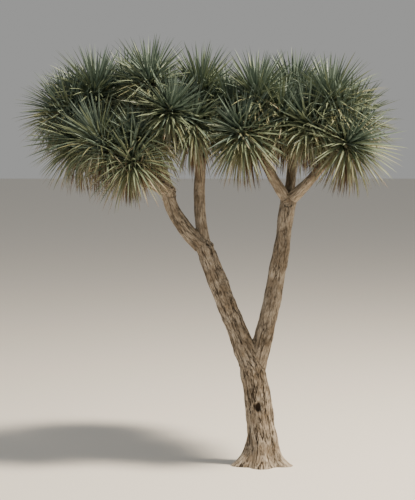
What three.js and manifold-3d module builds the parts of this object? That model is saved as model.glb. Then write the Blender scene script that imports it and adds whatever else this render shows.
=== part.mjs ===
// A dragon tree rooted in level ground: one forked trunk, two stems, their boughs, and heads of
// sword-shaped leaves. Millimetres, +Z up. The origin is the middle of the flat cut under the trunk. The
// front view looks along +Y, with +X to the right, and headings are degrees turned from +X towards +Y.
import * as THREE from "three";
import { mergeVertices } from "three/addons/utils/BufferGeometryUtils.js";
import Module from "manifold-3d";

const wasm = await Module();
wasm.setup();

const UP = new THREE.Vector3(0, 0, 1);
const GOLDEN_ANGLE = Math.PI * (3 - Math.sqrt(5));
const MERGE = 1e-3; // vertices closer than this are one
const TOUCH = 1e-4; // cubic millimetres that a leaf may share with its own mass, as rounding
const FINEST = 0.5; // slivers thinner than this, where twigs and leaf bases cross, are taken out of a mass

// Joints between limbs
const GAP = 0.3; // between a limb and what carries it
const SINK = 40; // a limb starts this far back inside its carrier or the ground, and is then cut clear of it
const COLLAR = { swell: 0.18, length: 90 }; // a limb's thicker foot, as a share of its radius

// Each limb is one tapering length of wood. It leaves its carrier at the share `from` of the carrier's
// length, runs `run` sideways towards `heading` and rises by `rise`, bent outwards by `bow`. Its radius
// goes from `thick` to `thin`. A limb with `lifts` carries a mass of leaf heads, each that high above its
// tip. The first stands in the middle, `lean` further out along `heading`, and the others round it at
// `spread`, from `turn` onwards, `step` degrees apart.
const LIMBS = [
  { name: "trunk", heading: 180, run: 110, rise: 1000, bow: -55, thick: 142, thin: 128 },
  {
    name: "left_stem", on: "trunk", from: 1, heading: 182, run: 490, rise: 1240, bow: 0,
    thick: 112, thin: 92,
  },
  {
    name: "left_high_stem", on: "left_stem", from: 1, heading: 186, run: 368, rise: 589, bow: 165,
    thick: 78, thin: 66,
  },
  {
    name: "right_stem", on: "trunk", from: 0.93, heading: 17, run: 372, rise: 1784, bow: 70,
    thick: 102, thin: 78,
  },
  {
    name: "bough_left_front", on: "left_high_stem", from: 1, heading: 228, run: 420, rise: 190, bow: 40,
    thick: 54, thin: 46, lean: 130, lifts: [150, 330, 400], spread: 340, turn: 160, step: -112,
  },
  {
    name: "bough_left_outer", on: "left_high_stem", from: 1, heading: 172, run: 640, rise: 300, bow: 60,
    thick: 60, thin: 50, lean: 110, lifts: [700, 540, 500, 220], spread: 265, turn: 120, step: 60,
  },
  {
    name: "bough_left_back", on: "left_high_stem", from: 1, heading: 133, run: 480, rise: 420, bow: 60,
    thick: 58, thin: 48, lean: 150, lifts: [570, 380, 300, 420], spread: 300, turn: 40, step: 70,
  },
  {
    name: "bough_left_top", on: "left_high_stem", from: 1, heading: 195, run: 160, rise: 500, bow: 20,
    thick: 58, thin: 50, lean: 40, lifts: [590, 300], spread: 300, turn: 312, step: 0,
  },
  {
    name: "bough_middle", on: "left_stem", from: 0.97, heading: 140, run: 60, rise: 930, bow: 110,
    thick: 66, thin: 52, lean: 10, lifts: [720, 400, 520, 560], spread: 290, turn: 250, step: 95,
  },
  {
    name: "bough_right_inner", on: "right_stem", from: 1, heading: 208, run: 290, rise: 430, bow: 40,
    thick: 58, thin: 48, lean: 90, lifts: [650, 280, 430], spread: 270, turn: 235, step: 110,
  },
  {
    name: "bough_right_back", on: "right_stem", from: 1, heading: 80, run: 330, rise: 430, bow: 50,
    thick: 58, thin: 48, lean: 50, lifts: [660, 480, 400, 480], spread: 290, turn: 150, step: -70,
  },
  {
    name: "bough_right_outer", on: "right_stem", from: 1, heading: 330, run: 410, rise: 400, bow: 50,
    thick: 56, thin: 48, lean: 60, lifts: [640, 400, 215, 420, 480], spread: 250, turn: 205, step: 100,
  },
];
const LIMB_SHAPE = { sides: 9, rings: 5 };
const TRUNK_SHAPE = { sides: 28, rings: 10, crowding: 1.8 }; // its rings crowd towards the flare

// The root flare: each buttress is a ridge that swells the trunk's foot and dies away upwards.
const FLARE = { swell: 30, height: 125, narrowness: 7 };
const BUTTRESSES = [
  { heading: 194, reach: 165 },
  { heading: 266, reach: 120 },
  { heading: 342, reach: 160 },
  { heading: 52, reach: 115 },
  { heading: 122, reach: 125 },
];

// A leaf mass: a stem on the bough's tip, which divides into one twig for each leaf head
const STEM = { length: 58, share: 0.9 }; // its radius is a share of the bough's at the tip
const TWIG = { thick: 36, thin: 32, sides: 6, rings: 3, bend: 0.45 };
const KNOB = { radius: 56, detail: 1 }; // the leaf bases at a twig's end
const HEAD_JITTER = { spread: 0.08, turn: 8 }; // a share, and degrees
const HEAD_UPTURN = 0.55; // how far a head turns from its twig's own direction to straight up

// Leaves, from the upright young ones in the middle of a head to the old ones that hang under it. A leaf is
// widest at its shoulder, a share of the way out. The youngest have grown to a share of the full length.
const LEAVES_PER_HEAD = 41;
const LEAF = { length: 580, width: 96, thickness: 9, shoulder: 0.3 };
const LEAF_ANGLE = { young: 10, old: 142 }; // degrees from the head's axis
const LEAF_DROOP = { young: 0.04, old: 0.55 }; // how strongly the outer part turns to the ground
const YOUNG = { share: 0.2, length: 0.86 }; // of the leaves, and of their length
const LENGTH_JITTER = 0.07;
const LEAF_SHARES = [1, 0.85, 0.7, 0.55, 0.42]; // where a leaf has no room it is a shorter one, or is skipped
const LEAF_CLEARANCE = 3; // from another mass's space, and from its twigs

const BARK = { color: 0x81725e, roughness: 0.95, metalness: 0 };
const LEAVES = { color: 0x6f7c64, roughness: 0.55, metalness: 0 };

// A seeded run of numbers from 0 to 1
function seededChance(seed) {
  let state = seed;
  return () => {
    state = (state * 1664525 + 1013904223) % 4294967296;
    return state / 4294967296;
  };
}

// The next number of a seeded run, moved to between -size and size
function jitter(chance, size) {
  return size * (chance() * 2 - 1);
}

function between(low, high, share) {
  return low + (high - low) * share;
}

function towards(heading) {
  const angle = THREE.MathUtils.degToRad(heading);
  return new THREE.Vector3(Math.cos(angle), Math.sin(angle), 0);
}

// A closed three.js geometry as a solid, with vertices that coincide shared
function solidOf(geometry) {
  const bare = new THREE.BufferGeometry();
  bare.setAttribute("position", geometry.getAttribute("position"));
  bare.setIndex(geometry.getIndex());
  const merged = mergeVertices(bare, MERGE);
  const shape = {
    numProp: 3,
    vertProperties: new Float32Array(merged.attributes.position.array),
    triVerts: new Uint32Array(merged.index.array),
  };
  return new wasm.Manifold(new wasm.Mesh(shape));
}

function solidOfFaces(points) {
  return solidOf(new THREE.BufferGeometry().setFromPoints(points));
}

// The largest body of a solid: cutting and fusing can leave loose scraps and sealed hollows, which are
// dropped
function largestBody(solid) {
  return solid.decompose().reduce((best, body) => (body.volume() > best.volume() ? body : best));
}

function namedMesh(name, solid, material) {
  const { vertProperties, triVerts } = solid.getMesh();
  const geometry = new THREE.BufferGeometry();
  geometry.setAttribute("position", new THREE.BufferAttribute(vertProperties, 3));
  geometry.setIndex(new THREE.BufferAttribute(triVerts, 1));
  geometry.computeVertexNormals();
  const mesh = new THREE.Mesh(geometry, material);
  mesh.name = name;
  return mesh;
}

// A cylinder whose axis is laid along a path in an upright plane, with a radius for each share of its
// length and angle round it. `clearance` makes it thicker and longer all round.
function tubeAlong(path, planeNormal, { sides, rings, radiusAt, crowding = 1 }, clearance = 0) {
  const tube = new THREE.CylinderGeometry(1, 1, 1, sides, rings);
  const place = tube.getAttribute("position");
  for (let i = 0; i < place.count; i++) {
    const along = place.getY(i) + 0.5;
    const share = along ** crowding;
    const forward = path.getTangent(share);
    const across = new THREE.Vector3().crossVectors(planeNormal, forward);
    const side = new THREE.Vector3()
      .addScaledVector(planeNormal, place.getX(i))
      .addScaledVector(across, place.getZ(i));
    const angle = Math.atan2(side.y, side.x);
    const point = path.getPoint(share).addScaledVector(side, radiusAt(share, angle) + clearance);
    if (along < MERGE) point.addScaledVector(forward, -clearance);
    if (along > 1 - MERGE) point.addScaledVector(forward, clearance);
    place.setXYZ(i, point.x, point.y, point.z);
  }
  return solidOf(tube);
}

// Where a limb runs: from its carrier's axis or the ground, out and up, in one upright plane
function pathOf(limb, carrier) {
  const out = towards(limb.heading);
  const start = carrier ? carrier.path.getPoint(limb.from) : new THREE.Vector3();
  const tip = start.clone().addScaledVector(out, limb.run).addScaledVector(UP, limb.rise);
  const bend = start.clone().lerp(tip, 0.5).addScaledVector(out, limb.bow);
  start.addScaledVector(bend.clone().sub(start).normalize(), -SINK);
  return new THREE.QuadraticBezierCurve3(start, bend, tip);
}

// How far the buttresses swell the trunk at a height, towards an angle
function flareAt(height, angle) {
  const swell = BUTTRESSES.reduce((sum, { heading, reach }) => {
    const facing = Math.max(0, Math.cos(angle - THREE.MathUtils.degToRad(heading)));
    return sum + reach * facing ** FLARE.narrowness;
  }, FLARE.swell);
  return swell * Math.exp(-height / FLARE.height);
}

function limbTube(limb, clearance = 0) {
  const { path, normal, thick, thin, shape } = limb;
  const length = path.getLength();
  const radiusAt = (share, angle) => {
    const taper = between(thick, thin, share);
    if (!limb.on) return taper + flareAt(share * length - SINK, angle);
    return taper * (1 + COLLAR.swell * Math.exp((-share * length) / COLLAR.length));
  };
  return tubeAlong(path, normal, { ...shape, radiusAt }, clearance);
}

// The leaf heads of one limb: the twig that carries each, its middle and the way it points
function headsOf(limb, seed) {
  const chance = seededChance(seed);
  const forward = limb.path.getTangent(1);
  const tip = limb.path.getPoint(1);
  const middle = tip.clone().addScaledVector(towards(limb.heading), limb.lean);
  return limb.lifts.map((lift, i) => {
    const turn = limb.turn + limb.step * (i - 1) + jitter(chance, HEAD_JITTER.turn);
    const spread = i > 0 ? limb.spread * (1 + jitter(chance, HEAD_JITTER.spread)) : 0;
    const centre = middle.clone().addScaledVector(towards(turn), spread).addScaledVector(UP, lift);
    const start = tip.clone().addScaledVector(forward, STEM.length / 2);
    const bend = start.clone().addScaledVector(forward, start.distanceTo(centre) * TWIG.bend);
    const twigPath = new THREE.QuadraticBezierCurve3(start, bend, centre);
    const axis = twigPath.getTangent(1).lerp(UP, HEAD_UPTURN).normalize();
    return { centre, axis, twigPath, turn, seed: seed * 10 + i };
  });
}

// The stem and twigs of a mass, without its leaves
function twigsOf(limb, heads, clearance = 0) {
  const forward = limb.path.getTangent(1);
  const foot = limb.path.getPoint(1).addScaledVector(forward, GAP);
  const stemPath = new THREE.LineCurve3(foot, foot.clone().addScaledVector(forward, STEM.length));
  const stemShape = { sides: TWIG.sides, rings: 1, radiusAt: () => limb.thin * STEM.share };
  const twigShape = { ...TWIG, radiusAt: (share) => between(TWIG.thick, TWIG.thin, share) };
  return heads.reduce((wood, { twigPath }) => {
    const sideways = new THREE.Vector3().crossVectors(UP, twigPath.v2.clone().sub(twigPath.v0)).normalize();
    return wood.add(tubeAlong(twigPath, sideways, twigShape, clearance));
  }, tubeAlong(stemPath, limb.normal, stemShape, clearance));
}

// The direction, length and droop of each leaf of a head, spaced by the golden angle from the youngest to
// the oldest
function leafPlan(head) {
  const chance = seededChance(head.seed);
  const first = new THREE.Vector3().crossVectors(head.axis, new THREE.Vector3(1, 0, 0)).normalize();
  const second = new THREE.Vector3().crossVectors(head.axis, first);
  const youngest = Math.cos(THREE.MathUtils.degToRad(LEAF_ANGLE.young));
  const oldest = Math.cos(THREE.MathUtils.degToRad(LEAF_ANGLE.old));
  return Array.from({ length: LEAVES_PER_HEAD }, (_, i) => {
    const age = (i + 0.5) / LEAVES_PER_HEAD;
    const rise = between(youngest, oldest, age);
    const outward = Math.sqrt(1 - rise * rise);
    const turn = i * GOLDEN_ANGLE + THREE.MathUtils.degToRad(head.turn);
    const direction = head.axis.clone().multiplyScalar(rise)
      .addScaledVector(first, outward * Math.cos(turn))
      .addScaledVector(second, outward * Math.sin(turn));
    const grown = between(YOUNG.length, 1, Math.min(1, age / YOUNG.share));
    const length = LEAF.length * grown * (1 + jitter(chance, LENGTH_JITTER));
    return { direction, length, droop: between(LEAF_DROOP.young, LEAF_DROOP.old, age * age) };
  });
}

// The faces of a head's knob of leaf bases, each of which can be drawn out into a leaf
function knobFaces(head) {
  const place = new THREE.IcosahedronGeometry(KNOB.radius, KNOB.detail).getAttribute("position");
  return Array.from({ length: place.count / 3 }, (_, i) => {
    const corners = [0, 1, 2].map((k) => new THREE.Vector3().fromBufferAttribute(place, 3 * i + k));
    const outward = corners[0].clone().add(corners[1]).add(corners[2]).normalize();
    return { corners: corners.map((corner) => corner.add(head.centre)), outward, leaf: null };
  });
}

// A leaf drawn out from one face of the knob: three corners at the root, three at the shoulder, where it
// is widest, and a tip turned to the ground. Its upper side is flat and its underside has a keel.
function leafCorners(head, root, { direction, droop }, length) {
  const side = new THREE.Vector3().crossVectors(head.axis, direction).normalize();
  const upper = new THREE.Vector3().crossVectors(direction, side);
  const middle = head.centre.clone().addScaledVector(direction, length * LEAF.shoulder);
  const shoulder = [
    middle.clone().addScaledVector(side, LEAF.width / 2),
    middle.clone().addScaledVector(side, -LEAF.width / 2),
    middle.clone().addScaledVector(upper, -LEAF.thickness),
  ];
  // the shoulder's corners begin at the one that twists the leaf least
  const stretch = (first) => {
    const edges = root.map((corner, i) => corner.distanceTo(shoulder[(i + first) % 3]));
    return edges[0] + edges[1] + edges[2];
  };
  const nearest = [0, 1, 2].reduce((best, first) => (stretch(first) < stretch(best) ? first : best));
  const outer = direction.clone().addScaledVector(UP, -droop).normalize();
  const tip = middle.clone().addScaledVector(outer, length * (1 - LEAF.shoulder));
  return { root, shoulder: root.map((_, i) => shoulder[(i + nearest) % 3]), tip };
}

// The skin of a leaf without the face that its root covers
function leafFaces({ root, shoulder, tip }) {
  return [0, 1, 2].flatMap((i) => {
    const next = (i + 1) % 3;
    return [
      root[i], root[next], shoulder[next],
      root[i], shoulder[next], shoulder[i],
      shoulder[i], shoulder[next], tip,
    ];
  });
}

// True if a leaf stays on its own head's side of the plane half way to each head of the other masses
function keepsToItsSpace({ shoulder, tip }, head, strangers) {
  return strangers.every((other) => {
    const apart = other.centre.clone().sub(head.centre);
    const half = apart.length() / 2 - LEAF_CLEARANCE;
    apart.normalize();
    return [...shoulder, tip].every((corner) => corner.clone().sub(head.centre).dot(apart) < half);
  });
}

// The heads of a mass, each one closed skin: its knob with the leaves drawn out of it. The heads take
// turns, oldest leaves first. A leaf that would leave the mass's space, or touch wood or another leaf, is
// tried shorter, then skipped.
function growHeads({ heads, twigs }, strangers, wood) {
  const plans = heads.map((head) => leafPlan(head).reverse());
  const knobs = heads.map(knobFaces);
  const grown = [twigs, ...knobs.map((faces) => solidOfFaces(faces.flatMap(({ corners }) => corners)))];
  for (let turn = 0; turn < LEAVES_PER_HEAD; turn++) {
    heads.forEach((head, i) => {
      const plan = plans[i][turn];
      const facing = (face) => face.outward.dot(plan.direction);
      const bare = knobs[i].filter((face) => !face.leaf);
      const face = bare.reduce((best, next) => (facing(next) > facing(best) ? next : best));
      for (const share of LEAF_SHARES) {
        const leaf = leafCorners(head, face.corners, plan, plan.length * share);
        if (!keepsToItsSpace(leaf, head, strangers)) continue;
        const solid = solidOfFaces([...leafFaces(leaf), leaf.root[0], leaf.root[2], leaf.root[1]]);
        if (wood.some((space) => solid.intersect(space).volume() > 0)) continue;
        if (grown.some((other) => solid.intersect(other).volume() > TOUCH)) continue;
        grown.push(solid);
        face.leaf = leaf;
        break;
      }
    });
  }
  return knobs
    .map((faces) => faces.flatMap(({ corners, leaf }) => (leaf ? leafFaces(leaf) : corners)))
    .map(solidOfFaces);
}

// The limbs, each cut clear of those before it, and the trunk cut flat at the ground
const bark = new THREE.MeshStandardMaterial(BARK);
const leafGreen = new THREE.MeshStandardMaterial(LEAVES);
const tree = new THREE.Group();
const limbs = new Map();
const wood = [];
for (const row of LIMBS) {
  const limb = { ...row, shape: row.on ? LIMB_SHAPE : TRUNK_SHAPE };
  limb.path = pathOf(limb, limbs.get(limb.on));
  limb.normal = new THREE.Vector3().crossVectors(UP, towards(limb.heading)).normalize();
  limbs.set(limb.name, limb);
  const tube = limb.on ? limbTube(limb) : limbTube(limb).trimByPlane([0, 0, 1], 0);
  const cut = wood.reduce((rest, space) => rest.subtract(space), tube);
  tree.add(namedMesh(limb.name, largestBody(cut), bark));
  wood.push(limbTube(limb, GAP));
}

// The leaf masses, each in its own space
const masses = [...limbs.values()].filter((limb) => limb.lifts).map((limb, i) => {
  const heads = headsOf(limb, i + 1);
  return { limb, heads, twigs: twigsOf(limb, heads), twigSpace: twigsOf(limb, heads, LEAF_CLEARANCE) };
});
for (const mass of masses) {
  const others = masses.filter((other) => other !== mass);
  const strangers = others.flatMap((other) => other.heads);
  const space = [...wood, ...others.map((other) => other.twigSpace)];
  const whole = growHeads(mass, strangers, space).reduce((sum, head) => sum.add(head), mass.twigs);
  const body = largestBody(whole).asOriginal().simplify(FINEST);
  tree.add(namedMesh(mass.limb.name.replace("bough", "leaves"), body, leafGreen));
}

export default tree;
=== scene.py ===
"""The looks of a dragon tree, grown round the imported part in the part's own frame.

Metres, Z up. The origin is the middle of the flat cut under the trunk. The front view looks along +Y, with
+X to the right, and headings are degrees turned from +X towards +Y.
"""

import math
from dataclasses import dataclass, replace

import bpy
import numpy as np
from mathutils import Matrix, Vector, noise


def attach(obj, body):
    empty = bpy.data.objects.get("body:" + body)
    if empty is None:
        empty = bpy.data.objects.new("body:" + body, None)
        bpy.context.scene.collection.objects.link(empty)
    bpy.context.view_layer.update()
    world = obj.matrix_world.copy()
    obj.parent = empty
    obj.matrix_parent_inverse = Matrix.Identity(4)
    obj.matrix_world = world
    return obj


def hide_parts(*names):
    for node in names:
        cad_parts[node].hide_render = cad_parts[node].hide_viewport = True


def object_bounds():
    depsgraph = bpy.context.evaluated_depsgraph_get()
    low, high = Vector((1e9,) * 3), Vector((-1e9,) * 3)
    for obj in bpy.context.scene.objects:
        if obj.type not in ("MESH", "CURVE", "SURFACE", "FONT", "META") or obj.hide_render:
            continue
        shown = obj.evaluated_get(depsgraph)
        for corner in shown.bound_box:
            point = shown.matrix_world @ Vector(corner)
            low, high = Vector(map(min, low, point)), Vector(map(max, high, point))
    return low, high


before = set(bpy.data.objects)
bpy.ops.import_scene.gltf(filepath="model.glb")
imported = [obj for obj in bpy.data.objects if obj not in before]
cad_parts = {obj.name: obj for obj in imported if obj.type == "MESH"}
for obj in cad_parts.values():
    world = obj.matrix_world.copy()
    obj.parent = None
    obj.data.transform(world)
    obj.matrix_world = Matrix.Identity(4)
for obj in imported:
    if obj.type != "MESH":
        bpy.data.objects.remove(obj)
cad_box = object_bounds()

# Trunk, stems and boughs
# The wood of the tree: one trunk with a flared foot, forked into two leaning stems, and eight boughs. It is
# grown as one, with a swollen collar where a limb leaves another, and is cut flat at the ground. Its bark is
# grey-beige and dry, with folds and cracks that run along each limb, and a knot on the trunk's front. Painted
# shade darkens the knot's hollow, the cracks and the low places of the folds.

UP = np.array([0.0, 0.0, 1.0])


@dataclass
class Limb:
    """One tapering length of wood, with the leaf heads that stand above its tip."""

    name: str
    heading: float  # the way it runs sideways
    run: float  # how far
    rise: float
    bow: float  # how far its middle is bent outwards
    thick: float  # its radius at the foot
    thin: float  # its radius at the tip
    on: str = ""  # the limb that carries it
    share: float = 0  # of the carrier's length, where it starts
    lifts: tuple = ()  # the height of each leaf head above the tip
    lean: float = 0  # how far the first head stands out along the heading
    spread: float = 0  # the radius of the ring of the other heads
    turn: float = 0  # the heading of the ring's first head
    step: float = 0  # degrees from one head of the ring to the next
    path: tuple = ()  # its axis: where it starts, the point that bends it, and its tip
    length: float = 0


LIMBS = [
    Limb("trunk", heading=180, run=0.11, rise=1.0, bow=-0.055, thick=0.142, thin=0.128),
    Limb("left_stem", on="trunk", share=1, heading=182, run=0.49, rise=1.24, bow=0, thick=0.112, thin=0.092),
    Limb(
        "left_high_stem", on="left_stem", share=1, heading=186, run=0.368, rise=0.589, bow=0.165,
        thick=0.078, thin=0.066,
    ),
    Limb(
        "right_stem", on="trunk", share=0.93, heading=17, run=0.372, rise=1.784, bow=0.07,
        thick=0.102, thin=0.078,
    ),
    Limb(
        "bough_left_front", on="left_high_stem", share=1, heading=228, run=0.42, rise=0.19, bow=0.04,
        thick=0.054, thin=0.046, lean=0.13, lifts=(0.15, 0.33, 0.4), spread=0.34, turn=160, step=-112,
    ),
    Limb(
        "bough_left_outer", on="left_high_stem", share=1, heading=172, run=0.64, rise=0.3, bow=0.06,
        thick=0.06, thin=0.05, lean=0.11, lifts=(0.7, 0.54, 0.5, 0.22), spread=0.265, turn=120, step=60,
    ),
    Limb(
        "bough_left_back", on="left_high_stem", share=1, heading=133, run=0.48, rise=0.42, bow=0.06,
        thick=0.058, thin=0.048, lean=0.15, lifts=(0.57, 0.38, 0.3, 0.42), spread=0.3, turn=40, step=70,
    ),
    Limb(
        "bough_left_top", on="left_high_stem", share=1, heading=195, run=0.16, rise=0.5, bow=0.02,
        thick=0.058, thin=0.05, lean=0.04, lifts=(0.59, 0.3), spread=0.3, turn=312, step=0,
    ),
    Limb(
        "bough_middle", on="left_stem", share=0.97, heading=140, run=0.06, rise=0.93, bow=0.11,
        thick=0.066, thin=0.052, lean=0.01, lifts=(0.72, 0.4, 0.52, 0.56), spread=0.29, turn=250, step=95,
    ),
    Limb(
        "bough_right_inner", on="right_stem", share=1, heading=208, run=0.29, rise=0.43, bow=0.04,
        thick=0.058, thin=0.048, lean=0.09, lifts=(0.65, 0.28, 0.43), spread=0.27, turn=235, step=110,
    ),
    Limb(
        "bough_right_back", on="right_stem", share=1, heading=80, run=0.33, rise=0.43, bow=0.05,
        thick=0.058, thin=0.048, lean=0.05, lifts=(0.66, 0.48, 0.4, 0.48), spread=0.29, turn=150, step=-70,
    ),
    Limb(
        "bough_right_outer", on="right_stem", share=1, heading=330, run=0.41, rise=0.4, bow=0.05,
        thick=0.056, thin=0.048, lean=0.06, lifts=(0.64, 0.4, 0.215, 0.42, 0.48), spread=0.25, turn=205,
        step=100,
    ),
]
SINK = 0.04  # a limb starts this far back inside its carrier or the ground
COLLAR = {"swell": 0.18, "length": 0.09}  # a limb's thicker foot, as a share of its radius
RING_SPACING = 0.03  # along a limb, as it is modelled
LIMB_SIDES = 24
TRUNK_SIDES = 64

# The root flare: each buttress is a ridge that swells the trunk's foot and dies away upwards.
FLARE = {"swell": 0.03, "height": 0.125, "narrowness": 7}
BUTTRESSES = ((194, 0.165), (266, 0.12), (342, 0.16), (52, 0.115), (122, 0.125))  # heading and reach

# The skin that makes one piece of all limbs
BARK_CELL = 0.0085  # the side of the mesh's squares
SOFT_JOINS = 4  # rounds of smoothing, which fill the crotches

# The bark's relief where the wood is as thick as the trunk: sizes across and along it, and a depth
LUMPS = {"across": 0.16, "along": 0.24, "depth": 0.016, "octaves": 2}
FOLDS = {"across": 0.055, "along": 0.42, "depth": 0.014, "octaves": 2}
PITS = {"across": 0.03, "along": 0.09, "depth": 0.006, "octaves": 3}
PITS_SHIFT = 7  # moves the pits' pattern off that of the folds
LEAST_RELIEF = 0.35  # of the trunk's, on the thinnest bough

# The knot's hollow, at a share of the trunk's length, and its swollen rim, so many widths from its middle
KNOT = {"heading": 264, "share": 0.62, "width": 0.036, "tall": 0.05, "depth": 0.034}
KNOT_LIP = {"away": 1.6, "narrowness": 2, "height": 0.012}
SHADE = {"knot": 3, "rim": 0.9, "folds": 0.35, "pits": 0.25, "most": 0.4}  # how hollows darken the bark


def unit(vector):
    return vector / np.linalg.norm(vector, axis=-1, keepdims=True)


def dot(first, second):
    return (first * second).sum(axis=-1)


def between(low, high, share):
    return low + (high - low) * share


def towards(heading):
    angle = math.radians(heading)
    return np.array([math.cos(angle), math.sin(angle), 0])


def point_on(path, share):
    start, bend, tip = path
    return start * (1 - share) ** 2 + bend * 2 * share * (1 - share) + tip * share**2


def direction_on(path, share):
    start, bend, tip = path
    return unit((bend - start) * (1 - share) + (tip - bend) * share)


def length_of(path, pieces=200):
    points = point_on(path, np.linspace(0, 1, pieces + 1)[:, None])
    return float(np.linalg.norm(np.diff(points, axis=0), axis=1).sum())


def path_of(limb, carrier):
    """Where a limb runs: from its carrier's axis or the ground, out and up, in one upright plane."""
    out = towards(limb.heading)
    start = point_on(carrier.path, limb.share) if carrier else np.zeros(3)
    tip = start + out * limb.run + UP * limb.rise
    bend = (start + tip) / 2 + out * limb.bow
    return start - unit(bend - start) * SINK, bend, tip


def radius_on(limb, share):
    taper = between(limb.thick, limb.thin, share)
    if not limb.on:
        return taper
    return taper * (1 + COLLAR["swell"] * np.exp(-share * limb.length / COLLAR["length"]))


def sweep_tube(path, radii, sides):
    """A closed tube of wood along a path: a curve, cut at even steps, with its own radius at each."""
    bpy.ops.object.select_all(action="DESELECT")
    bpy.ops.curve.primitive_bezier_curve_add(enter_editmode=True)
    tube = bpy.context.object
    start, bend, tip = path
    for point, end in zip(tube.data.splines[0].bezier_points, (start, tip)):
        point.handle_left_type = "FREE"
        point.handle_right_type = "FREE"
        point.co = end
        point.handle_left = between(end, bend, 2 / 3)  # two handles that make the curve with one bend
        point.handle_right = between(end, bend, 2 / 3)
    bpy.ops.curve.select_all(action="SELECT")
    bpy.ops.curve.subdivide(number_cuts=len(radii) - 2)
    bpy.ops.object.mode_set(mode="OBJECT")
    for point, radius in zip(tube.data.splines[0].bezier_points, radii):
        point.radius = radius
    tube.data.dimensions = "3D"
    tube.data.resolution_u = 1
    tube.data.bevel_depth = 1
    tube.data.bevel_resolution = sides // 2 - 2
    tube.data.use_fill_caps = True
    tube.location = (0, 0, 0)
    bpy.ops.object.convert(target="MESH")
    bpy.ops.object.mode_set(mode="EDIT")
    bpy.ops.mesh.select_all(action="SELECT")
    bpy.ops.mesh.remove_doubles(threshold=1e-5)  # sews the caps on
    bpy.ops.object.mode_set(mode="OBJECT")
    return bpy.context.object


def join(name, pieces):
    bpy.ops.object.select_all(action="DESELECT")
    for piece in pieces:
        piece.select_set(True)
    bpy.context.view_layer.objects.active = pieces[0]
    bpy.ops.object.join()
    whole = bpy.context.object
    whole.name = name
    return whole


def places_of(mesh):
    places = np.empty(len(mesh.vertices) * 3)
    mesh.vertices.foreach_get("co", places)
    return places.reshape(-1, 3)


def flare_at(height, angle):
    """How far the buttresses swell the trunk at a height, towards an angle."""
    swell = FLARE["swell"]
    for heading, reach in BUTTRESSES:
        facing = np.maximum(0, np.cos(angle - math.radians(heading)))
        swell = swell + reach * facing ** FLARE["narrowness"]
    return swell * np.exp(-height / FLARE["height"])


def spread_foot(trunk, path):
    """Moves the trunk's skin out into the root flare."""
    places = places_of(trunk.data)
    share = (places[:, 2:] + SINK) / (path[2][2] + SINK)
    out = (places - point_on(path, share)) * (1, 1, 0)
    away = np.linalg.norm(out, axis=1, keepdims=True)
    flare = flare_at(places[:, 2], np.arctan2(out[:, 1], out[:, 0]))
    places += out / np.maximum(away, 1e-6) * flare[:, None]
    trunk.data.vertices.foreach_set("co", places.ravel())


def even_skin(piece, cell, rounds):
    """Makes crossing tubes one skin of even squares, smoothed where they meet."""
    bpy.context.view_layer.objects.active = piece
    remesh = piece.modifiers.new("one skin", "REMESH")
    remesh.mode = "VOXEL"
    remesh.voxel_size = cell
    smooth = piece.modifiers.new("soft joins", "SMOOTH")
    smooth.iterations = rounds
    for modifier in (remesh, smooth):
        bpy.ops.object.modifier_apply(modifier=modifier.name)


def cut_at_ground(piece):
    bpy.ops.object.select_all(action="DESELECT")
    bpy.context.view_layer.objects.active = piece
    piece.select_set(True)
    bpy.ops.object.mode_set(mode="EDIT")
    bpy.ops.mesh.select_all(action="SELECT")
    bpy.ops.mesh.bisect(plane_co=(0, 0, 0), plane_no=(0, 0, 1), use_fill=True, clear_inner=True)
    bpy.ops.object.mode_set(mode="OBJECT")


def places_on(points, wood, spacing=0.01, batch=4000):
    """For each point, its place across the nearest length of wood and along it, and the wood's radius."""
    samples = []
    for number, (path, thick, thin) in enumerate(wood):
        length = length_of(path)
        sideways = unit(np.cross(UP, path[2] - path[0] + (1e-4, 0, 0)))  # nudged, for one that is upright
        for share in np.linspace(0, 1, max(2, round(length / spacing))):
            forward = direction_on(path, share)
            along = share * length + number  # no two lengths of wood have the same pattern
            here = np.concatenate((point_on(path, share), sideways, np.cross(sideways, forward), forward))
            samples.append([*here, along, between(thick, thin, share)])
    samples = np.array(samples)
    nearest = np.empty(len(points), int)
    for part in np.array_split(np.arange(len(points)), len(points) // batch + 1):
        apart = np.linalg.norm(points[part, None] - samples[:, 0:3], axis=2) - samples[:, -1]
        nearest[part] = apart.argmin(axis=1)
    found = samples[nearest]
    offset = points - found[:, 0:3]
    grain = np.stack([dot(offset, found[:, k:k + 3]) for k in (3, 6, 9)], axis=1)
    grain[:, 2] += found[:, -2]
    radius = found[:, -1]
    away = np.maximum(np.linalg.norm(grain[:, :2], axis=1), 1e-6)
    grain[:, :2] *= np.minimum(1, radius / away)[:, None]  # so that the grain runs straight out over a flare
    return grain, radius


def keep_grain(piece, grain, hollow, age):
    """Stores on the skin which way the wood grows, how dark painted shade makes its hollows, and how old it
    is, for the material.
    """
    attributes = piece.data.attributes
    attributes.new("grain", "FLOAT_VECTOR", "POINT").data.foreach_set("vector", grain.ravel())
    attributes.new("hollow", "FLOAT", "POINT").data.foreach_set("value", hollow)
    attributes.new("age", "FLOAT", "POINT").data.foreach_set("value", age)


def noise_over(grain, sizes):
    """Fractal noise over the grain, from about -1 to 1, with cells of a size across and a size along."""
    scaled = grain / (sizes["across"], sizes["across"], sizes["along"])
    return np.array([noise.fractal(point, 1, 2, sizes["octaves"]) for point in scaled.tolist()])


def knot_on(places, trunk):
    """How deep in the knot each point is, and how high on its lip, from 0 to 1."""
    out = towards(KNOT["heading"])
    offset = places - (point_on(trunk.path, KNOT["share"]) + out * trunk.thick)
    across = dot(offset, np.cross(UP, out)) / KNOT["width"]
    away = np.hypot(across, offset[:, 2] / KNOT["tall"])
    near = dot(offset, out) > -trunk.thick / 2  # not on the trunk's far side
    lip = np.exp(-((away - KNOT_LIP["away"]) * KNOT_LIP["narrowness"]) ** 2)
    return np.where(near, np.exp(-away**2), 0), np.where(near, lip, 0)


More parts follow.
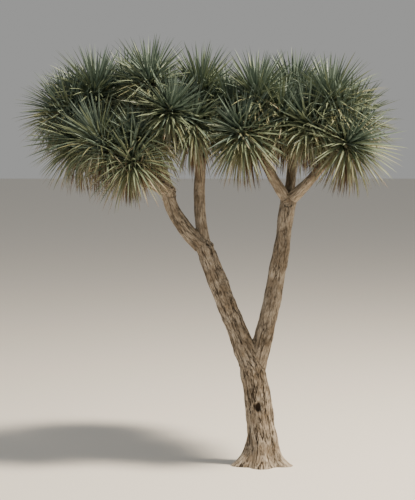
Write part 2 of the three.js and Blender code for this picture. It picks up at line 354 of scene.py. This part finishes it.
def relieve_bark(bark, limbs):
    """Presses lumps, folds, pits and the knot into the skin."""
    places = places_of(bark.data)
    normals = np.empty(len(places) * 3, np.float32)
    bark.data.vertex_normals.foreach_get("vector", normals)
    normals = normals.reshape(-1, 3)
    grain, radius = places_on(places, [(limb.path, limb.thick, limb.thin) for limb in limbs])
    youngest = limbs[-1].thin
    age = np.clip((radius - youngest) / (limbs[0].thin - youngest), 0, 1)
    lumps = noise_over(grain, LUMPS)
    folds = noise_over(grain, FOLDS)
    pits = noise_over(grain + PITS_SHIFT, PITS)
    relief = LUMPS["depth"] * lumps + FOLDS["depth"] * folds + PITS["depth"] * pits
    relief *= between(LEAST_RELIEF, 1, age)
    hollow, lip = knot_on(places, limbs[0])
    relief += lip * KNOT_LIP["height"] - hollow * KNOT["depth"]
    normals[places[:, 2] < BARK_CELL, 2] = 0  # at the ground the bark only moves sideways
    places += normals * relief[:, None]
    places[:, 2] = np.maximum(places[:, 2], 0)
    bark.data.vertices.foreach_set("co", places.ravel())
    # Painted shade: the colour is darkened in the knot's hollow and where folds and pits are pressed in.
    dark = np.clip(hollow * SHADE["knot"] - SHADE["rim"], 0, 1)
    dark += np.clip(-SHADE["folds"] * folds - SHADE["pits"] * pits, 0, SHADE["most"])
    keep_grain(bark, grain, np.minimum(dark, 1), age)


limbs = {}
tubes = []
for limb in LIMBS:
    limb.path = path_of(limb, limbs.get(limb.on))
    limb.length = length_of(limb.path)
    limbs[limb.name] = limb
    steps = round(limb.length / RING_SPACING)
    radii = [radius_on(limb, i / steps) for i in range(steps + 1)]
    tubes.append(sweep_tube(limb.path, radii, LIMB_SIDES if limb.on else TRUNK_SIDES))
spread_foot(tubes[0], limbs["trunk"].path)
bark = join("bark", tubes)
even_skin(bark, BARK_CELL, SOFT_JOINS)
cut_at_ground(bark)
relieve_bark(bark, LIMBS)
bpy.ops.object.shade_smooth()

# Weathered bark: dry dead cork, matt, sun-bleached in patches, and darkened with the dark tone in the cracks
# and hollows as painted shade.
BARK_TONES = {"pale": 0xB0A493, "middle": 0x8A7D6C, "warm": 0x70604C, "dark": 0x2C2219}
PATCH = {"size": 0.13, "from": 0.4, "to": 0.58}  # where the noise lies in a bleached patch
# The fissures and cracks are pressed in by the bump, and their painted darkness stands in for the shade in
# them.
FISSURES = {"across": 0.045, "along": 0.34, "width": 0.036}  # long ones, and how wide in steps of the noise
CRACKS = {"across": 0.018, "along": 0.1, "width": 0.035, "dark": 0.6}  # short ones between them
SPLIT_ENDS = {"scale": 0.8, "closed": 0.42, "open": 0.5, "shift": (3, 5, 7)}  # a noise that breaks them off
FLAKE = {"across": 0.009, "along": 0.045, "from": 0.54, "to": 0.34, "most": 0.85}  # scales of cork
GRIT = 0.003  # coarser than real dust and fibre, so that it shows
HEIGHTS = {"fissure": 0.016, "flake": 0.004, "grit": 0.0015}
# Painted shade in the fissures, like their depth, grows from this share on the thinnest wood to full on the
# oldest.
LEAST_FISSURE = 0.3  # how dark the fissures are on the thinnest wood
BARK_ROUGHNESS = 0.92
BARK_SHINE = 0.2


def linear(colour):
    """An sRGB hex value as linear light."""
    channels = [(colour >> shift & 255) / 255 for shift in (16, 8, 0)]
    return [*(c / 12.92 if c <= 0.04045 else ((c + 0.055) / 1.055) ** 2.4 for c in channels), 1]


def new_material(name):
    material = bpy.data.materials.new(name)
    material.use_nodes = True
    return material, material.node_tree.nodes["Principled BSDF"]


def add_node(material, kind, inputs=(), **settings):
    """Adds a node. Each input is given a value, or the output of another node to link to."""
    node = material.node_tree.nodes.new(kind)
    for name, value in settings.items():
        setattr(node, name, value)
    for name, value in dict(inputs).items():
        if isinstance(value, bpy.types.NodeSocket):
            material.node_tree.links.new(value, node.inputs[name])
        else:
            node.inputs[name].default_value = value
    return node


def split(material, grain, sizes):
    """Where bark has split along the grain: 1 in the middle of a split, 0 beside it and past its ends."""
    stretch = (1, 1, sizes["across"] / sizes["along"])
    places = add_node(material, "ShaderNodeMapping", {"Vector": grain, "Scale": stretch}).outputs[0]
    waves = add_node(
        material, "ShaderNodeTexNoise",
        {"Vector": places, "Scale": 1 / sizes["across"], "Detail": 4, "Roughness": 0.5},
    )
    centred = add_node(material, "ShaderNodeMath", {0: waves.outputs["Fac"], 1: 0.5}, operation="SUBTRACT")
    apart = add_node(material, "ShaderNodeMath", {0: centred.outputs[0]}, operation="ABSOLUTE")
    line = add_node(
        material, "ShaderNodeMapRange",
        {"Value": apart.outputs[0], "From Max": sizes["width"], "To Min": 1.0, "To Max": 0.0},
        interpolation_type="SMOOTHSTEP",
    )
    shifted = add_node(material, "ShaderNodeMapping", {"Vector": places, "Location": SPLIT_ENDS["shift"]})
    reach = add_node(
        material, "ShaderNodeTexNoise",
        {"Vector": shifted.outputs[0], "Scale": SPLIT_ENDS["scale"] / sizes["across"], "Detail": 2},
    )
    open_here = add_node(
        material, "ShaderNodeMapRange",
        {"Value": reach.outputs["Fac"], "From Min": SPLIT_ENDS["closed"], "From Max": SPLIT_ENDS["open"]},
    )
    return add_node(
        material, "ShaderNodeMath", {0: line.outputs[0], 1: open_here.outputs[0]}, operation="MULTIPLY",
    ).outputs[0]


def bark_material(name, tones):
    """Dry cork in two tones with flakes on it, and fissures that are deepest on old wood; these and the
    hollows are painted dark as their shade.
    """
    material, shader = new_material(name)
    links = material.node_tree.links
    grain = add_node(material, "ShaderNodeAttribute", attribute_name="grain").outputs["Vector"]
    # The painted shade of the hollows, as stored on the skin.
    hollow = add_node(material, "ShaderNodeAttribute", attribute_name="hollow").outputs["Fac"]
    age = add_node(material, "ShaderNodeAttribute", attribute_name="age").outputs["Fac"]
    fissures = split(material, grain, FISSURES)
    cracks = split(material, grain, CRACKS)
    flake_places = add_node(
        material, "ShaderNodeMapping", {"Vector": grain, "Scale": (1, 1, FLAKE["across"] / FLAKE["along"])},
    )
    flakes = add_node(
        material, "ShaderNodeTexNoise",
        {"Vector": flake_places.outputs[0], "Scale": 1 / FLAKE["across"], "Detail": 5, "Roughness": 0.62},
    )
    grit = add_node(material, "ShaderNodeTexNoise", {"Vector": grain, "Scale": 1 / GRIT, "Detail": 2})
    patch = add_node(
        material, "ShaderNodeTexNoise", {"Vector": grain, "Scale": 1 / PATCH["size"], "Detail": 4},
    )

    bleached = add_node(
        material, "ShaderNodeMapRange",
        {"Value": patch.outputs["Fac"], "From Min": PATCH["from"], "From Max": PATCH["to"]},
    )
    cork = add_node(
        material, "ShaderNodeMix",
        {"Factor": bleached.outputs[0], "A": linear(tones["middle"]), "B": linear(tones["pale"])},
        data_type="RGBA",
    )
    scaly = add_node(
        material, "ShaderNodeMapRange",
        {
            "Value": flakes.outputs["Fac"], "From Min": FLAKE["from"], "From Max": FLAKE["to"],
            "To Max": FLAKE["most"],
        },
    )
    flaked = add_node(
        material, "ShaderNodeMix",
        {"Factor": scaly.outputs[0], "A": cork.outputs["Result"], "B": linear(tones["warm"])},
        data_type="RGBA",
    )
    old = add_node(material, "ShaderNodeMapRange", {"Value": age, "To Min": LEAST_FISSURE})
    # Painted shade: the colour goes to the dark tone in the fissures, in the cracks and in the hollows.
    crack = add_node(material, "ShaderNodeMath", {0: cracks, 1: CRACKS["dark"]}, operation="MULTIPLY")
    deepest = add_node(material, "ShaderNodeMath", {0: fissures, 1: crack.outputs[0]}, operation="MAXIMUM")
    fissure = add_node(
        material, "ShaderNodeMath", {0: deepest.outputs[0], 1: old.outputs[0], 2: hollow},
        operation="MULTIPLY_ADD", use_clamp=True,
    )
    colour = add_node(
        material, "ShaderNodeMix",
        {"Factor": fissure.outputs[0], "A": flaked.outputs["Result"], "B": linear(tones["dark"])},
        data_type="RGBA",
    )

    scaled = add_node(
        material, "ShaderNodeMath", {0: fissure.outputs[0], 1: -HEIGHTS["fissure"]}, operation="MULTIPLY",
    )
    with_flakes = add_node(
        material, "ShaderNodeMath",
        {0: flakes.outputs["Fac"], 1: HEIGHTS["flake"], 2: scaled.outputs[0]}, operation="MULTIPLY_ADD",
    )
    with_grit = add_node(
        material, "ShaderNodeMath",
        {0: grit.outputs["Fac"], 1: HEIGHTS["grit"], 2: with_flakes.outputs[0]}, operation="MULTIPLY_ADD",
    )
    bump = add_node(material, "ShaderNodeBump", {"Height": with_grit.outputs[0], "Distance": 1.0})
    links.new(colour.outputs["Result"], shader.inputs["Base Color"])
    links.new(bump.outputs["Normal"], shader.inputs["Normal"])
    shader.inputs["Roughness"].default_value = BARK_ROUGHNESS
    shader.inputs["Specular IOR Level"].default_value = BARK_SHINE
    return material


bark.data.materials.append(bark_material("weathered bark", BARK_TONES))
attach(bark, "root")
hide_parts(*limbs)

# Twigs
# Each bough's tip divides into one twig for each leaf head, and each long twig bears three short side
# shoots. They are young wood, ringed by the scars of fallen leaves and swollen where the leaf bases clasp.

STEM_LENGTH = 0.058  # from a bough's tip to where its twigs part
STEM_SHARE = 0.9  # its radius, as a share of the bough's at the tip
TWIG = {"thick": 0.036, "thin": 0.032, "bend": 0.45}
HEAD_JITTER = {"spread": 0.08, "turn": 8}  # a share, and degrees
HEAD_UPTURN = 0.55  # how far a head turns from its twig's own direction to straight up
SHOOT = {"thick": 0.026, "thin": 0.022, "length": 0.19, "angle": 55, "upturn": 0.4, "size": 0.7}
SHOOT_SHARES = (0.52, 0.68, 0.84)  # of the twig's length, where a side shoot leaves it
SHOOT_TURN = {"first": 60, "step": 137}  # degrees round the twig
SHORT_TWIG = 0.43  # a shorter one has no side shoots
SCAR = {"spacing": 0.017, "depth": 0.05}  # the depth is a share of the radius
SCAR_SHADE = 0.5  # how dark the grooves are
CLASP = {"swell": 0.4, "length": 0.06}  # a share of the radius, and how fast it dies away
TWIG_SIDES = 14

boughs = [limb for limb in LIMBS if limb.lifts]
masses = [bough.name.replace("bough", "leaves") for bough in boughs]  # the solids round their leaves


@dataclass
class Head:
    """A tuft of leaves on the end of a twig or a side shoot."""

    bough: str  # the name of the bough that carries it
    centre: np.ndarray
    axis: np.ndarray  # the way it faces
    twig: tuple  # the path of the wood under it
    thick: float  # the radius of that at its foot
    thin: float  # and at its tip
    turn: float  # the heading that it stands on
    seed: int
    size: float  # of its leaves, as a share of the full length


def seeded_chance(seed):
    """A run of numbers from 0 to 1, the same for the same seed."""
    state = seed
    while True:
        state = (state * 1664525 + 1013904223) % 4294967296
        yield state / 4294967296


def jitter(chance, size):
    return size * (next(chance) * 2 - 1)


def heads_of(limb, seed):
    """The main leaf heads of a bough: the first above its tip and the others in a ring."""
    chance = seeded_chance(seed)
    forward = direction_on(limb.path, 1)
    tip = limb.path[2]
    middle = tip + towards(limb.heading) * limb.lean
    heads = []
    for i, lift in enumerate(limb.lifts):
        turn = limb.turn + limb.step * (i - 1) + jitter(chance, HEAD_JITTER["turn"])
        spread = limb.spread * (1 + jitter(chance, HEAD_JITTER["spread"])) if i else 0
        centre = middle + towards(turn) * spread + UP * lift
        start = tip + forward * STEM_LENGTH / 2
        bend = start + forward * np.linalg.norm(centre - start) * TWIG["bend"]
        twig = (start, bend, centre)
        axis = unit(between(direction_on(twig, 1), UP, HEAD_UPTURN))
        heads.append(Head(limb.name, centre, axis, twig, TWIG["thick"], TWIG["thin"], turn, seed * 10 + i, 1))
    return heads


def shoots_of(head):
    """The side shoots of a twig, spread round it."""
    angle = math.radians(SHOOT["angle"])
    shoots = []
    for i, share in enumerate(SHOOT_SHARES):
        turn = head.turn + SHOOT_TURN["first"] + SHOOT_TURN["step"] * i
        start = point_on(head.twig, share)
        way = unit(direction_on(head.twig, share) * math.cos(angle) + towards(turn) * math.sin(angle))
        bend = start + way * SHOOT["length"] / 2
        centre = bend + unit(between(way, UP, SHOOT["upturn"])) * SHOOT["length"] / 2
        axis = unit(between(way, UP, HEAD_UPTURN))
        twig = (start, bend, centre)
        seed = head.seed * 10 + i + 1
        shoots.append(
            Head(head.bough, centre, axis, twig, SHOOT["thick"], SHOOT["thin"], turn, seed, SHOOT["size"])
        )
    return shoots


def ringed_tube(path, thick, thin):
    """A tapering twig with a groove at each leaf scar, swollen at its end."""
    length = length_of(path)
    steps = 2 * round(length / SCAR["spacing"])  # a ridge and a groove for each scar
    share = np.arange(steps + 1) / steps
    clasp = 1 + CLASP["swell"] * np.exp(-(1 - share) * length / CLASP["length"])
    groove = 1 - SCAR["depth"] * (np.arange(steps + 1) % 2)
    return sweep_tube(path, between(thick, thin, share) * clasp * groove, TWIG_SIDES)


main_heads = []
for number, bough in enumerate(boughs):
    main_heads += heads_of(bough, number + 1)
side_heads = [
    shoot for head in main_heads if length_of(head.twig) > SHORT_TWIG for shoot in shoots_of(head)
]
heads = main_heads + side_heads

tubes = []
wood = [(limb.path, limb.thick, limb.thin) for limb in LIMBS]  # all that a leaf has to keep clear of
for bough in boughs:
    forward = direction_on(bough.path, 1)
    foot = bough.path[2] - forward * SINK
    path = (foot, foot + forward * (STEM_LENGTH + SINK) / 2, foot + forward * (STEM_LENGTH + SINK))
    tubes.append(ringed_tube(path, bough.thin * STEM_SHARE, bough.thin * STEM_SHARE))
for head in heads:
    tubes.append(ringed_tube(head.twig, head.thick, head.thin))
    wood.append((head.twig, head.thick, head.thin))
twigs = join("twigs", tubes)
grain, radius = places_on(places_of(twigs.data), wood)
# Painted shade: the twigs are darkened in rings at the scars' spacing, standing in for the shade in their
# grooves.
rings = 0.5 - 0.5 * np.cos(2 * math.pi * grain[:, 2] / SCAR["spacing"])
keep_grain(twigs, grain, rings * SCAR_SHADE, np.zeros(len(rings)))
bpy.ops.object.shade_smooth()

# Young bark: smoother and browner than the old wood's, with a dull surface.
TWIG_TONES = {"pale": 0x9F917B, "middle": 0x7F6F5B, "warm": 0x695340, "dark": 0x3A2D21}
twigs.data.materials.append(bark_material("young ringed bark", TWIG_TONES))
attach(twigs, "root")
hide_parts(*masses)

# Living leaves
# Each head is a tuft of stiff, channelled sword leaves, set round the twig's end in a spiral: the young ones
# stand up, and the older ones spread and arch over. They are leathery, grey-green with a dull wax bloom, and
# pale where they clasp the twig.

GOLDEN_ANGLE = math.pi * (3 - math.sqrt(5))
LEAVES_PER_HEAD = 280
LEAVES_PER_SHOOT = 100
# A leaf runs straight out as far as its shoulder, a share of its length, and arches over beyond.
LEAF = {"length": 0.58, "width": 0.027, "shoulder": 0.3, "arch": 1.4}
LEAF_FOOT = 0.8  # of the twig's radius, how far from its axis a leaf is rooted
LEAF_OUTLINE = ((0, 0.7), (0.1, 0.95), (0.36, 1), (0.66, 0.68), (0.88, 0.3), (1, 0))  # along it, and width
CHANNEL = 0.16  # how far its edges stand up, as a share of its width
KEEL = 0.11  # how far the rib under it stands out
LIVING = {
    "angle": (10, 142),  # degrees from the head's axis, young and old
    "droop": (0.04, 0.55),  # how strongly the outer part turns to the ground
    "roots": (0, 0.11),  # how far down the twig they start
}
YOUNG = {"share": 0.2, "length": 0.86}  # of the leaves, and of their length
LEAF_JITTER = {"length": 0.07, "way": 0.06, "droop": 0.3, "roll": 38, "tone": 0.26}
LEAF_DRAWS = 7  # random numbers for each leaf
LEAF_SHARES = (1, 0.85, 0.7, 0.55, 0.42)  # where a leaf has no room it is shorter, or is left out
LEAF_CLEARANCE = 0.004  # from wood
INTERLEAVE = 0.05  # how far a leaf may reach in between those of another mass
PROBES = np.array([0.24, 0.36, 0.48, 0.6, 0.72, 0.84, 0.96])  # along a leaf, where its room is tested


def model_leaf():
    """One straight leaf of length and width 1, extruded from its root to its tip: corners and faces."""
    bpy.ops.object.select_all(action="DESELECT")
    bpy.ops.mesh.primitive_circle_add(vertices=4, radius=0.5, fill_type="NGON")
    leaf = bpy.context.object
    for vertex in leaf.data.vertices:
        on_rib = abs(vertex.co.x) < 0.1  # the corners on the middle line, above and below
        vertex.co.y = (-KEEL if vertex.co.y < 0 else 0) if on_rib else CHANNEL
    bpy.ops.object.mode_set(mode="EDIT")
    bpy.ops.mesh.select_all(action="SELECT")
    wide = LEAF_OUTLINE[0][1]
    bpy.ops.transform.resize(value=(wide, wide, 1), center_override=(0, 0, 0))
    for (before, wide), (after, narrow) in zip(LEAF_OUTLINE, LEAF_OUTLINE[1:]):
        bpy.ops.mesh.extrude_region_move(TRANSFORM_OT_translate={"value": (0, 0, after - before)})
        if narrow:
            bpy.ops.transform.resize(value=(narrow / wide, narrow / wide, 1), center_override=(0, 0, after))
        else:
            bpy.ops.mesh.merge(type="CENTER")
    bpy.ops.mesh.select_all(action="SELECT")
    bpy.ops.mesh.normals_make_consistent(inside=False)
    bpy.ops.object.mode_set(mode="OBJECT")
    corners = places_of(leaf.data)
    faces = sorted(tuple(face.vertices) for face in leaf.data.polygons)  # in the same order each run
    bpy.data.objects.remove(leaf)
    return corners, faces


@dataclass
class Leaves:
    """The leaves of one head, as arrays with a row for each."""

    root: np.ndarray
    bend: np.ndarray
    tip: np.ndarray
    side: np.ndarray  # across the leaf
    tone: np.ndarray  # from 0, that of the youngest, to 1, that of the oldest

    def chosen(self, which):
        return Leaves(self.root[which], self.bend[which], self.tip[which], self.side[which], self.tone[which])


def plan_leaves(head, kind, seed, share):
    """The leaves of a head at a share of their full length, from the youngest to the oldest."""
    count = kind["count"]
    chance = seeded_chance(seed)
    draws = np.array([jitter(chance, 1) for _ in range(count * LEAF_DRAWS)]).reshape(count, LEAF_DRAWS)
    aside, longer, lower, rolled, paler = np.split(draws, (3, 4, 5, 6), axis=1)  # three of them push it aside
    number = np.arange(count)
    age = ((number + 0.5) / count)[:, None]
    first = unit(np.cross(head.axis, (1, 0, 0)))
    second = np.cross(head.axis, first)
    young, old = np.cos(np.radians(kind["angle"]))
    rise = between(young, old, age)
    outward = np.sqrt(1 - rise**2)
    turn = (number * GOLDEN_ANGLE + math.radians(head.turn))[:, None]
    way = head.axis * rise + first * outward * np.cos(turn) + second * outward * np.sin(turn)
    way = unit(way + aside * LEAF_JITTER["way"])
    grown = between(YOUNG["length"], 1, np.minimum(1, age / YOUNG["share"]))
    length = LEAF["length"] * head.size * share * grown * (1 + longer * LEAF_JITTER["length"])
    droop = between(*kind["droop"], age**2) * (1 + lower * LEAF_JITTER["droop"])
    back = np.minimum(1, between(*kind["roots"], age) * head.size / length_of(head.twig))
    forward = direction_on(head.twig, 1 - back)
    sideways = way - forward * dot(way, forward)[:, None]
    root = point_on(head.twig, 1 - back) + unit(sideways) * head.thin * LEAF_FOOT
    shoulder = head.centre + way * length * LEAF["shoulder"]
    tip = shoulder + unit(way - UP * droop) * length * (1 - LEAF["shoulder"])
    bend = between(root, shoulder, LEAF["arch"])
    side = unit(np.cross(head.axis, way))
    roll = np.radians(rolled * LEAF_JITTER["roll"])
    side = side * np.cos(roll) + np.cross(way, side) * np.sin(roll)
    tone = np.clip(age[:, 0] + paler[:, 0] * LEAF_JITTER["tone"], 0, 1)
    return Leaves(root, bend, tip, side, tone)


def curve_points(leaves, shares):
    """Points along each leaf: an array with a row for each leaf and a column for each share."""
    path = [part[:, None] for part in (leaves.root, leaves.bend, leaves.tip)]
    return point_on(path, np.asarray(shares)[None, :, None])


def have_room(leaves, head, rivals, obstacles, box):
    """True for each leaf that keeps to its own mass's space, clear of the wood and inside the part's box."""
    points = curve_points(leaves, PROBES)
    near = obstacles[np.linalg.norm(obstacles[:, :3] - head.centre, axis=1) < 2 * LEAF["length"]]
    gaps = np.linalg.norm(points[:, :, None] - near[:, :3], axis=3) - near[:, 3]
    room = (gaps > LEAF_CLEARANCE).all(axis=(1, 2))
    for rival in rivals:
        apart = rival.centre - head.centre
        half = np.linalg.norm(apart) / 2 + INTERLEAVE
        room &= (dot(points - head.centre, unit(apart)) < half).all(axis=1)
    return room & ((points > box[0]) & (points < box[1])).all(axis=(1, 2))


def grow_leaves(head, kind, seed, rivals, obstacles, box):
    """The leaves of a head, each at the greatest share of its length for which it has room."""
    left = np.arange(kind["count"])
    grown = []
    for share in LEAF_SHARES:
        leaves = plan_leaves(head, kind, seed, share).chosen(left)
        room = have_room(leaves, head, rivals, obstacles, box)
        grown.append(leaves.chosen(room))
        left = left[~room]
    return grown


def wood_samples(wood, spacing=0.02):
    """Points along the axes of the wood, with the radius at each."""
    rows = []
    for path, thick, thin in wood:
        for share in np.linspace(0, 1, max(2, round(length_of(path) / spacing))):
            rows.append([*point_on(path, share), between(thick, thin, share)])
    return np.array(rows)


def lay_leaves(batches, corners, width):
    """Bends and places a copy of the modelled leaf for each row: all corners, and the tone of each leaf."""
    placed = []
    for leaves in batches:
        if not len(leaves.root):
            continue
        path = [part[:, None] for part in (leaves.root, leaves.bend, leaves.tip)]
        along = corners[None, :, 2:3]
        forward = direction_on(path, along)
        side = leaves.side[:, None]
        side = unit(side - forward * dot(side, forward)[..., None])
        upper = np.cross(forward, side)
        flat = side * corners[None, :, 0:1] + upper * corners[None, :, 1:2]
        placed.append(point_on(path, along) + flat * width)
    return np.concatenate(placed), np.concatenate([leaves.tone for leaves in batches])


def leaves_mesh(name, batches, model, width, tone_of):
    """One mesh of many leaves. tone_of gives each face's material, by its leaf's tone and place along it."""
    corners, faces = model
    places, tones = lay_leaves(batches, corners, width)
    count = len(places)
    mesh = bpy.data.meshes.new(name)
    every = [
        tuple(corner + number * len(corners) for corner in face) for number in range(count) for face in faces
    ]
    mesh.from_pydata(places.reshape(-1, 3), [], every)
    middles = np.array([corners[list(face), 2].mean() for face in faces])
    tones = np.repeat(tones, len(faces))
    mesh.polygons.foreach_set("material_index", tone_of(tones, np.tile(middles, count)))
    on_leaf = [(corners[corner, 0] + 0.5, corners[corner, 2]) for face in faces for corner in face]
    mesh.uv_layers.new(name="leaf").data.foreach_set("uv", np.tile(np.array(on_leaf).ravel(), count))
    piece = bpy.data.objects.new(name, mesh)
    bpy.context.scene.collection.objects.link(piece)
    return piece


# Leaf skin: leathery, matt with wax, each tone a plain colour of its own.
LEAF_TONES = {
    "blue green leaf": 0x637266,
    "grey green leaf": 0x737E65,
    "olive green leaf": 0x7E7F60,
    "pale old leaf": 0x918F78,
    "cream leaf base": 0xAAA58F,
    "dry leaf tip": 0x85735A,
}
TONE_ENDS = (0.3, 0.66, 0.88)  # where one tone gives way to the next
BASE_END = 0.07  # the pale, clasping part of a young leaf
OLD_BASE_END = 0.3  # of an old one, on which more of it shows
TIP_START = 0.78  # of the oldest leaves, where they have dried
VEINS = {"across": 0.0025, "along": 0.09, "height": 0.0006}  # real ones are 0.5 mm apart, too fine to show
WAX = {"patch": 0.03, "dull": 0.58, "bright": 0.4}  # the roughness where the bloom is thick, and rubbed off
WAX_EDGE = (0.4, 0.6)  # of the noise, between the two
LEAF_SHINE = 0.4


def leaf_material(name, colour, dull, bright):
    """One tone of leaf, finely veined along its length, and duller in some patches than in others."""
    material, shader = new_material(name)
    on_leaf = add_node(material, "ShaderNodeUVMap", uv_map="leaf").outputs[0]
    veined = add_node(
        material, "ShaderNodeMapping",
        {"Vector": on_leaf, "Scale": (LEAF["width"] / VEINS["across"], LEAF["length"] / VEINS["along"], 1)},
    )
    veins = add_node(material, "ShaderNodeTexNoise", {"Vector": veined.outputs[0], "Scale": 1.0, "Detail": 2})
    bump = add_node(
        material, "ShaderNodeBump", {"Height": veins.outputs["Fac"], "Distance": VEINS["height"]},
    )
    place = add_node(material, "ShaderNodeTexCoord").outputs["Object"]
    bloom = add_node(material, "ShaderNodeTexNoise", {"Vector": place, "Scale": 1 / WAX["patch"]})
    roughness = add_node(
        material, "ShaderNodeMapRange",
        {
            "Value": bloom.outputs["Fac"], "From Min": WAX_EDGE[0], "From Max": WAX_EDGE[1],
            "To Min": bright, "To Max": dull,
        },
    )
    links = material.node_tree.links
    links.new(bump.outputs["Normal"], shader.inputs["Normal"])
    links.new(roughness.outputs[0], shader.inputs["Roughness"])
    shader.inputs["Base Color"].default_value = linear(colour)
    shader.inputs["Specular IOR Level"].default_value = LEAF_SHINE
    return material


def living_tone(tone, along):
    """The number of the material: the leaf's own tone, its pale base, or the dry tip of the oldest."""
    oldest = len(TONE_ENDS)
    tones = np.digitize(tone, TONE_ENDS)
    base = along < np.where(tones >= oldest - 1, OLD_BASE_END, BASE_END)
    dry = (tones == oldest) & (along > TIP_START)
    return np.where(base, oldest + 1, np.where(dry, oldest + 2, tones))


leaf_model = model_leaf()
obstacles = wood_samples(wood)
box = np.array(cad_box)
living = [leaf_material(name, colour, WAX["dull"], WAX["bright"]) for name, colour in LEAF_TONES.items()]
for bough, mass in zip(boughs, masses):
    rivals = [head for head in main_heads if head.bough != bough.name]
    batches = []
    for head in heads:
        if head.bough == bough.name:
            kind = LIVING | {"count": LEAVES_PER_HEAD if head.size == 1 else LEAVES_PER_SHOOT}
            batches += grow_leaves(head, kind, head.seed, rivals, obstacles, box)
    name = bough.name.replace("bough", "foliage")
    foliage = leaves_mesh(name, batches, leaf_model, LEAF["width"], living_tone)
    for material in living:
        foliage.data.materials.append(material)
    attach(foliage, "root")
    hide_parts(mass)

# Dead leaves
# The oldest leaves die on the twig and hang close under the head as a skirt, which is thickest under the
# lowest heads. They are dry, thin and brittle. Some have bleached to straw, and most have gone brown; their
# tones are kept darker still as painted shade under the heads.

DEAD_LEAVES = {"few": 10, "many": 70}  # under the highest head, and under the lowest
DEAD_WIDTH = 0.022
DEAD_SIZE = 1.06  # under a long twig, as a share of a living leaf's length
DEAD_SHORT = 0.64  # of that, where there is hardly a twig
LONG_TWIG = 0.5
DEAD = {"angle": (138, 172), "droop": (0.9, 2.6), "roots": (0.1, 0.3)}
DEAD_SEED = 500  # added to a head's seed, for draws of their own

# Dead leaf: papery dry fibre with no wax left, so it has hardly any shine.
# These colours are partly the brown of dead leaves and partly painted shade, darker than the dry leaves
# themselves.
DEAD_TONES_WITH_PAINTED_SHADE = {"straw": 0xA99B80, "brown dead leaf in painted shade": 0x64523D, "dark dead leaf in painted shade": 0x42352B}
DEAD_TONE_ENDS = (0.24, 0.62)
DRY = {"dull": 0.88, "bright": 0.7}


def dead_tone(tone, along):
    """The number of the material, which is the same all along a leaf."""
    return np.digitize(tone, DEAD_TONE_ENDS)


lowest = min(head.centre[2] for head in main_heads)
highest = max(head.centre[2] for head in main_heads)
batches = []
for head in main_heads:
    height = (head.centre[2] - lowest) / (highest - lowest)
    count = round(between(DEAD_LEAVES["many"], DEAD_LEAVES["few"], height))
    rivals = [other for other in main_heads if other.bough != head.bough]
    size = DEAD_SIZE * between(DEAD_SHORT, 1, min(1, length_of(head.twig) / LONG_TWIG))
    skirt = replace(head, size=size)
    batches += grow_leaves(skirt, DEAD | {"count": count}, head.seed + DEAD_SEED, rivals, obstacles, box)
dead = leaves_mesh("dead_leaves", batches, leaf_model, DEAD_WIDTH, dead_tone)
for name, colour in DEAD_TONES_WITH_PAINTED_SHADE.items():
    dead.data.materials.append(leaf_material(name, colour, DRY["dull"], DRY["bright"]))
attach(dead, "root")
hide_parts(*masses)

# Floor, light and camera
# A plain pale floor under a pale sky. A warm lamp stands high on the right, a little in front, and a wide
# weak one fills the other side. The camera looks almost level at the tree from far away.

FLOOR = {"size": 120, "colour": 0xE6E1D8, "roughness": 0.9}
SKY = {"colour": 0xE2E2E0, "strength": 0.45}
KEY = {"heading": -20, "height": 56, "distance": 14, "size": 1.8, "power": 5600, "colour": 0xFFF0DA}
FILL = {"heading": -140, "height": 20, "distance": 14, "size": 10, "power": 380, "colour": 0xE4E9F0}
LENS = 135
SENSOR = 36
VIEW_HEIGHT = 5.15  # of the picture, at the tree
CAMERA_RISE = 5  # degrees above level
CAMERA_REACH = 200  # how far it sees

middle = (box[0] + box[1]) / 2


def shine(name, lamp):
    """A square lamp on a heading and a height in degrees, turned to the middle of the tree."""
    rise = math.radians(lamp["height"])
    back = towards(lamp["heading"]) * math.cos(rise) + UP * math.sin(rise)
    bpy.ops.object.light_add(type="AREA", location=middle + back * lamp["distance"])
    light = bpy.context.object
    light.name = name
    light.rotation_euler = Vector(back).to_track_quat("Z", "Y").to_euler()
    light.data.size = lamp["size"]
    light.data.energy = lamp["power"]
    light.data.color = linear(lamp["colour"])[:3]


bpy.ops.mesh.primitive_plane_add(size=FLOOR["size"])
floor = bpy.context.object
floor.name = "floor"
plaster, floor_shader = new_material("plain pale plaster")
floor_shader.inputs["Base Color"].default_value = linear(FLOOR["colour"])
floor_shader.inputs["Roughness"].default_value = FLOOR["roughness"]
floor.data.materials.append(plaster)

world = bpy.data.worlds.new("pale sky")
world.use_nodes = True
sky = world.node_tree.nodes["Background"]
sky.inputs["Color"].default_value = linear(SKY["colour"])
sky.inputs["Strength"].default_value = SKY["strength"]
bpy.context.scene.world = world
shine("key", KEY)
shine("fill", FILL)

rise = math.radians(CAMERA_RISE)
back = np.array([0, -math.cos(rise), math.sin(rise)])
distance = VIEW_HEIGHT / 2 / (SENSOR / 2 / LENS)
bpy.ops.object.camera_add(location=middle + back * distance)
camera = bpy.context.object
camera.rotation_euler = Vector(back).to_track_quat("Z", "Y").to_euler()
camera.data.sensor_width = SENSOR
camera.data.lens = LENS
camera.data.clip_end = CAMERA_REACH
bpy.context.scene.camera = camera
